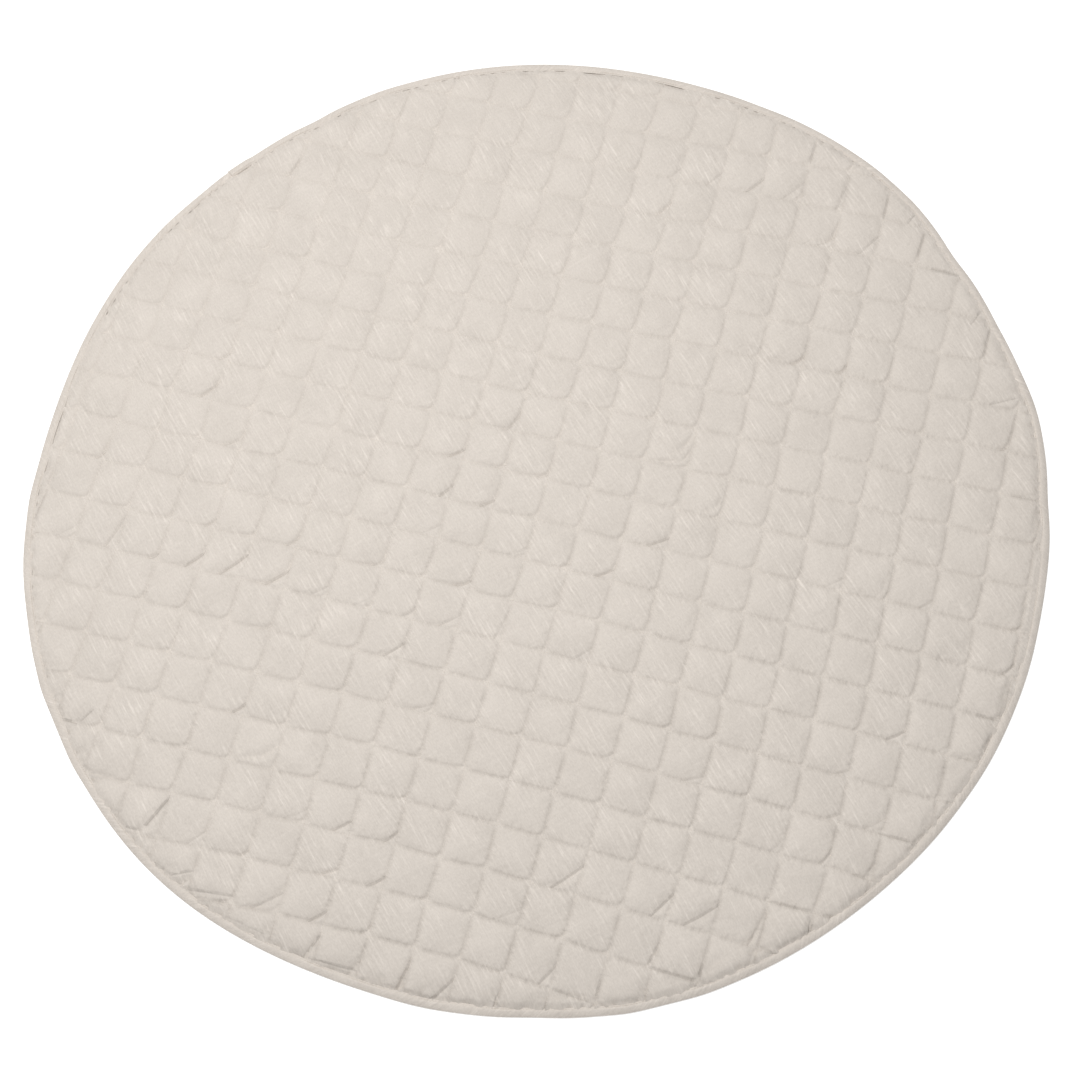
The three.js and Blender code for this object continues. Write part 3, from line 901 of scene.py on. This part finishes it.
linen = Weave("panel_linen")
in_squares = linen.unrolled_place("squares")
square_mm = SQUARE * 1000
cloth_mm = linen.spread(in_squares, (square_mm, square_mm))
tone, height_mm = weave_tone_and_height(linen, cloth_mm)
axes = linen.split(in_squares)
off_seam_mm = [linen.times(linen.reckon("PINGPONG", axes[side], 0.5), square_mm) for side in (0, 1)]
ragged = linen.noise(linen.spread(cloth_mm, (RAGGED_PER_MM, RAGGED_PER_MM)), 2.0)
ragged = linen.total(1.0, linen.times(ragged, RAGGED_GAIN))
upright_ripple = (1 / PUCKER_LENGTH_MM, 1 / PUCKER_MM)
level_ripple = (1 / PUCKER_MM, 1 / PUCKER_LENGTH_MM)
for side, pull, stretch in ((0, "upright_pull_and_shade", upright_ripple), (1, "level_pull_and_shade", level_ripple)):
    tight = linen.total(linen.attribute(pull), LEAST_PULL)
    clear = linen.fade(off_seam_mm[1 - side], 2.0, CROSSING_REACH_MM)
    # Painted shade in the seam's groove, deeper where the seam is drawn more tightly
    line = linen.fade(off_seam_mm[side], SEAM_SHADE_MM, 0.2)
    line = linen.times(line, tight, clear, ragged)
    tone = linen.minus(tone, linen.times(line, SEAM_SHADE))
    ripple = linen.noise(linen.spread(cloth_mm, stretch), 0.6)
    reach = linen.times(linen.fade(off_seam_mm[side], PUCKER_REACH_MM, 1.0), tight)
    pucker = linen.times(linen.times(ripple, reach), PUCKER_HEIGHT * 2)
    height_mm = linen.total(height_mm, pucker)
# A painted highlight round each crossing of the seams
from_crossing = linen.total(off_seam_mm[0], off_seam_mm[1])
crossing_light = linen.times(linen.fade(from_crossing, CROSSING_MM, 0.0), CROSSING_HIGHLIGHT)
tone = linen.total(tone, crossing_light)
off_fold = linen.reckon("ABSOLUTE", linen.attribute("fold_gap"))
shown = linen.times(linen.attribute("fold_depth"), linen.attribute("shows_fold"))
# A painted shadow line along each fold, where the cloth folds over
line = linen.times(linen.fade(off_fold, FOLD_SHADE_MM, 0.1), shown)
dent = linen.times(linen.fade(off_fold, FOLD_DENT_MM, 0.0), shown)
tone = linen.minus(tone, linen.times(line, FOLD_SHADE))
height_mm = linen.minus(height_mm, linen.times(dent, FOLD_DENT_HEIGHT))
# The cloth dips beside the binding, and painted shade darkens it there and in a wider band near the rim,
# most at the lower rim
rim_mm = linen.attribute("rim_mm")
lower_shade = linen.attribute("lower_rim_shade")
beside = linen.fade(rim_mm, *BESIDE_BINDING_MM)
binding_shade = linen.total(linen.times(lower_shade, LOWER_BINDING_SHADE), BESIDE_BINDING_SHADE)
tone = linen.minus(tone, linen.times(beside, binding_shade))
near = linen.times(linen.fade(rim_mm, *NEAR_RIM_MM), linen.times(lower_shade, NEAR_LOWER_RIM_SHADE))
tone = linen.minus(tone, near)
height_mm = linen.minus(height_mm, linen.times(beside, BESIDE_BINDING_DIP))
linen.colour(linen.total(tone, CLOTH_TONE), CLOTH_DARK, CLOTH_LIGHT)
linen.relief(height_mm)
linen.gloss(*CLOTH_GLOSS)
panel_mesh.materials.append(linen.material)

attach(panel, "root")
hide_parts("quilted_panel")


# Quilting thread
# One unbroken line of machine stitches runs along each seam, about 3 mm a stitch, in thread of the
# cloth's own colour. Each stitch lies in the seam's groove and dives into the cloth at both ends.

STITCH_PITCH = 0.0031
STITCH_LENGTH = 0.0027
THREAD_THICK = 0.00028
STITCH_DIP = 0.00045
STITCH_SHOULDER = 0.63
PATH_STEPS = 24
THREAD_END_GAP = 0.001
THREAD_SINK_ABOVE = 0.00005
THREAD_SINK_BELOW = 0.0001


def even_places(path, pitch):
    """Middles and directions of stitches set evenly along a path of points."""
    legs = np.linalg.norm(np.diff(path, axis=0), axis=1)
    length = np.concatenate([[0], np.cumsum(legs)])
    at = np.arange(pitch / 2, length[-1] - pitch / 2, pitch)
    middle = np.stack([np.interp(at, length, path[:, k]) for k in range(3)], axis=1)
    ahead = np.stack([np.interp(at + pitch / 3, length, path[:, k]) for k in range(3)], axis=1)
    heading = ahead - middle
    return middle, heading / np.linalg.norm(heading, axis=1)[:, None]


def stitches(name, middle, heading, side_up):
    """A mesh of thin stitches, each a slim spindle of three sides."""
    across = np.stack([-heading[:, 1], heading[:, 0], 0 * heading[:, 0]], axis=1)
    up = np.array([0, 0, side_up])
    count = len(middle)
    half = heading * STITCH_LENGTH / 2
    dip = up * STITCH_DIP
    rings = [middle - half - dip]
    for share in (-STITCH_SHOULDER, STITCH_SHOULDER):
        for turn in (90, 210, 330):
            out = across * math.cos(math.radians(turn)) + up * math.sin(math.radians(turn))
            rings.append(middle + half * share + out * THREAD_THICK)
    rings.append(middle + half - dip)
    points = np.stack(rings, axis=1).reshape(-1, 3)
    faces = []
    for k in range(3):
        after = (k + 1) % 3
        faces.append((0, 1 + after, 1 + k))
        faces.append((1 + k, 1 + after, 4 + after))
        faces.append((1 + k, 4 + after, 4 + k))
        faces.append((4 + k, 4 + after, 7))
    faces = np.array(faces)
    if side_up < 0:
        faces = faces[:, ::-1]
    faces = (faces[None] + 8 * np.arange(count)[:, None, None]).reshape(-1, 3)
    mesh = bpy.data.meshes.new(name)
    mesh.from_pydata(points.tolist(), [], faces.tolist())
    mesh.shade_smooth()
    return set_down(name, mesh)


def seam_paths(height):
    """The path of every seam inside the binding, at the height that the function gives."""
    run = np.linspace(-SQUARES_REACH, SQUARES_REACH, PATH_STEPS * SQUARES_REACH * 2 + 1)
    for upright in (True, False):
        for number in range(1 - SQUARES_REACH, SQUARES_REACH):
            still = np.full(run.shape, float(number))
            u, v = (still, run) if upright else (run, still)
            x, y = quilt_place(u, v)
            inside = inside_edge(x, y) > BINDING_WIDTH + THREAD_END_GAP
            if np.count_nonzero(inside) > 4:
                yield np.stack([x, y, height(u, v, x, y)], axis=1)[inside]


def thread_over_seams(name, height, side_up):
    placed = [even_places(path, STITCH_PITCH) for path in seam_paths(height)]
    middle = np.concatenate([m for m, _ in placed])
    heading = np.concatenate([h for _, h in placed])
    return stitches(name, middle, heading, side_up)


THREAD_LIGHT = (0.860, 0.785, 0.700)
THREAD_DARK = (0.480, 0.425, 0.370)
THREAD_TONE = 0.55
PLY_MM = 0.5
PLY_TONE = 0.5
PLY_HEIGHT = 0.1
WEAR_MM = 50
THREAD_GLOSS = (0.6, 0.35, 0.0)

thread_finish = Weave("quilting_thread")
where = thread_finish.tree.nodes.new("ShaderNodeTexCoord").outputs["Object"]
thread_mm = thread_finish.spread(where, (1000, 1000))
plies = thread_finish.noise(thread_finish.spread(thread_mm, (1 / PLY_MM, 1 / PLY_MM)), 1.0)
wear = thread_finish.noise(thread_finish.spread(thread_mm, (1 / WEAR_MM, 1 / WEAR_MM)), 2.0)
thread_tone = thread_finish.total(THREAD_TONE, thread_finish.times(plies, PLY_TONE), wear)
thread_finish.colour(thread_tone, THREAD_DARK, THREAD_LIGHT)
thread_finish.relief(thread_finish.times(plies, PLY_HEIGHT))
thread_finish.gloss(*THREAD_GLOSS)


def just_above(u, v, x, y):
    return seam_top(u, v, x, y) - THREAD_SINK_ABOVE


def just_below(u, v, x, y):
    return 0 * u + SEAM_LIFT_BELOW - THREAD_SINK_BELOW


top_thread = thread_over_seams("quilting_thread_above", just_above, 1)
under_thread = thread_over_seams("quilting_thread_below", just_below, -1)
for thread in (top_thread, under_thread):
    thread.data.materials.append(thread_finish.material)
    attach(thread, "root")


# Edge binding
# A strip of the same cloth, cut on the bias, folded over the mat's edge with both its raw edges
# turned under, and sewn through near its inner edge. Its ends lap at the upper left, where the free
# end stands up as a small step.

# Section of the folded strip: how far in from the mat's edge, and how high, in millimetres
BINDING_SECTION = np.array([
    (10.9, 3.72), (10.4, 3.88), (9.8, 4.10), (9.1, 4.34), (8.5, 4.58), (7.7, 4.84),
    (6.8, 4.95), (5.8, 4.82), (4.6, 4.48), (3.4, 3.98), (2.4, 3.4), (1.5, 2.75),
    (0.85, 2.15), (0.5, 1.6), (0.55, 1.1), (1.1, 0.5),
    (2.2, 0.12), (4.5, 0.02), (7.9, 0.05), (8.8, 0.6), (9.6, 0.35), (10.1, 0.8),
    (9.9, 1.35), (8.5, 1.5), (5.5, 1.5), (3.6, 1.55), (2.7, 1.9), (2.3, 2.3),
    (2.5, 2.7), (3.2, 3.25), (4.8, 3.8), (7.5, 3.92), (9.6, 3.80),
]) * 0.001
OUTER_POINTS = 22
BINDING_STATIONS = 1080
LAP_START = math.radians(141.6)
LAP_END = math.radians(145.2)
LAP_RISE = math.radians(1.2)
LAP_THICK = 0.0016
LAP_STEP = math.radians(0.12)
PUCKER_ROUND = 0.00022
WAVE_ROUND = 0.0004
STITCH_INSET = 0.0088
GROOVE_WIDTH = 0.0022
GROOVE_PRESS = 0.6
STRIP_SHARP = math.radians(60)

angles = np.linspace(-math.pi, math.pi, BINDING_STATIONS, endpoint=False)
angles = np.sort(np.append(angles, [LAP_END - LAP_STEP, LAP_END, LAP_END + LAP_STEP / 2]))


def round_waves(angles, fewest, most, count, size):
    """A gentle unevenness round the edge, made of waves that meet end to end."""
    waves = random.integers(fewest, most, count)
    turns = random.uniform(0, 2 * math.pi, count)
    return sum(np.cos(n * angles + t) for n, t in zip(waves, turns)) * size / math.sqrt(count)


lap = np.clip((angles - LAP_START) / LAP_RISE, 0, 1)
lap = np.where(angles > LAP_END, 0, lap * lap * (3 - 2 * lap))
width_wave = round_waves(angles, 12, 60, 8, WAVE_ROUND)
height_wave = round_waves(angles, 20, 90, 8, WAVE_ROUND * 0.5)
pucker_wave = round_waves(angles, 180, 330, 10, PUCKER_ROUND)
# The lap and the waves move the outside of the fold. The turned hem stays sewn down in the cloth.
section_inset, section_height = BINDING_SECTION.T
groove = np.exp(-((section_inset - STITCH_INSET) / GROOVE_WIDTH) ** 2)
outer = np.arange(len(BINDING_SECTION)) < OUTER_POINTS
above = np.clip((section_height - 0.0020) / 0.0030, 0, 1) * outer
inset_round = section_inset + np.outer(width_wave, section_inset > 0.006)
inset_round = inset_round - np.outer(lap, outer * (section_inset < 0.004)) * LAP_THICK * 0.8
lifted = above * (section_inset < 0.0105)
height_round = section_height + np.outer(lap, lifted) * LAP_THICK
loose = above * np.clip((0.0104 - section_inset) / 0.0016, 0, 1)
puckered = loose * (1 - GROOVE_PRESS * groove)
height_round = height_round + np.outer(height_wave, loose) + np.outer(pucker_wave, puckered)
radius = edge_radius(angles)[:, None] - inset_round
ring_x = radius * np.cos(angles)[:, None] - OUTLINE_MIDDLE[0]
ring_y = radius * np.sin(angles)[:, None] - OUTLINE_MIDDLE[1]
ring = np.stack([ring_x, ring_y, np.maximum(height_round, 0.00002)], axis=2)

stations, section = ring.shape[:2]
number = np.arange(stations * section).reshape(stations, section)
next_station = np.roll(number, -1, axis=0)
quads = np.stack([
    number, np.roll(number, -1, axis=1), np.roll(next_station, -1, axis=1), next_station,
], axis=2).reshape(-1, 4)
binding_mesh = bpy.data.meshes.new("binding_strip")
binding_mesh.from_pydata(ring.reshape(-1, 3).tolist(), [], quads.tolist())
around_mm = np.append(angles, angles[0] + 2 * math.pi) * MAT_RADIUS * 1000
section_steps = np.linalg.norm(np.diff(BINDING_SECTION, axis=0, append=BINDING_SECTION[:1]), axis=1)
over_mm = np.concatenate([[0], np.cumsum(section_steps)]) * 1000
strip_map = binding_mesh.uv_layers.new(name="strip")
station_of = np.repeat(np.arange(stations), section)
point_of = np.tile(np.arange(section), stations)
strip_uv = np.stack([
    np.stack([around_mm[station_of], over_mm[point_of]], axis=1),
    np.stack([around_mm[station_of], over_mm[point_of + 1]], axis=1),
    np.stack([around_mm[station_of + 1], over_mm[point_of + 1]], axis=1),
    np.stack([around_mm[station_of + 1], over_mm[point_of]], axis=1),
], axis=1)
strip_map.data.foreach_set("uv", strip_uv.astype(np.float32).ravel())
binding_mesh.shade_smooth()
binding_mesh.set_sharp_from_angle(angle=STRIP_SHARP)
binding = set_down("binding_strip", binding_mesh)

BINDING_LIGHT = (0.868, 0.796, 0.723)
BINDING_DARK = (0.328, 0.292, 0.256)
BINDING_EDGE_SHADE_MM = 0.9
BINDING_EDGE_SHADE = 0.03
GATHER_MM = 3.6
GATHER_LENGTH_MM = 25
GATHER_REACH_MM = 5.0
GATHER_HEIGHT = 0.6

bias = Weave("binding_linen")
strip_mm = bias.unrolled_place("strip")
bias_tone, bias_height = weave_tone_and_height(bias, strip_mm)
# A painted shade line along the strip's inner edge, where it meets the panel
from_line = bias.reckon("ABSOLUTE", bias.minus(bias.split(strip_mm)[1], BINDING_EDGE_SHADE_MM))
line = bias.fade(from_line, 1.5, 0.2)
bias_tone = bias.minus(bias_tone, bias.times(line, BINDING_EDGE_SHADE))
gather_stretch = (1 / GATHER_MM, 1 / GATHER_LENGTH_MM)
gathers = bias.noise(bias.spread(strip_mm, gather_stretch), 2.0)
gathers = bias.times(gathers, bias.fade(from_line, GATHER_REACH_MM, 0.5))
bias_height = bias.total(bias_height, bias.times(gathers, GATHER_HEIGHT))
bias.colour(bias.total(bias_tone, CLOTH_TONE), BINDING_DARK, BINDING_LIGHT)
bias.relief(bias_height)
bias.gloss(*CLOTH_GLOSS)
binding_mesh.materials.append(bias.material)

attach(binding, "root")
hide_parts("edge_binding")


# Binding thread
# One line of stitches goes through the binding and the panel, near the strip's inner edge, on both
# faces.

LINE_ABOVE = 0.00447
LINE_BELOW = 0.00036
PUCKER_SHARE = 0.4

fine = np.linspace(-math.pi, math.pi, 4 * BINDING_STATIONS)
line_radius = edge_radius(fine) - STITCH_INSET
line_x = line_radius * np.cos(fine) - OUTLINE_MIDDLE[0]
line_y = line_radius * np.sin(fine) - OUTLINE_MIDDLE[1]
line_rise = np.interp(fine, angles, height_wave + lap * LAP_THICK + PUCKER_SHARE * pucker_wave)
path_above = np.stack([line_x, line_y, LINE_ABOVE + line_rise], axis=1)
path_below = np.stack([line_x, line_y, np.full(fine.shape, LINE_BELOW)], axis=1)
for name, path, side_up in (
    ("binding_thread_above", path_above, 1),
    ("binding_thread_below", path_below, -1),
):
    middle, heading = even_places(path, STITCH_PITCH)
    heading[:, 2] = 0
    thread = stitches(name, middle, heading, side_up)
    thread.data.materials.append(thread_finish.material)
    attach(thread, "root")
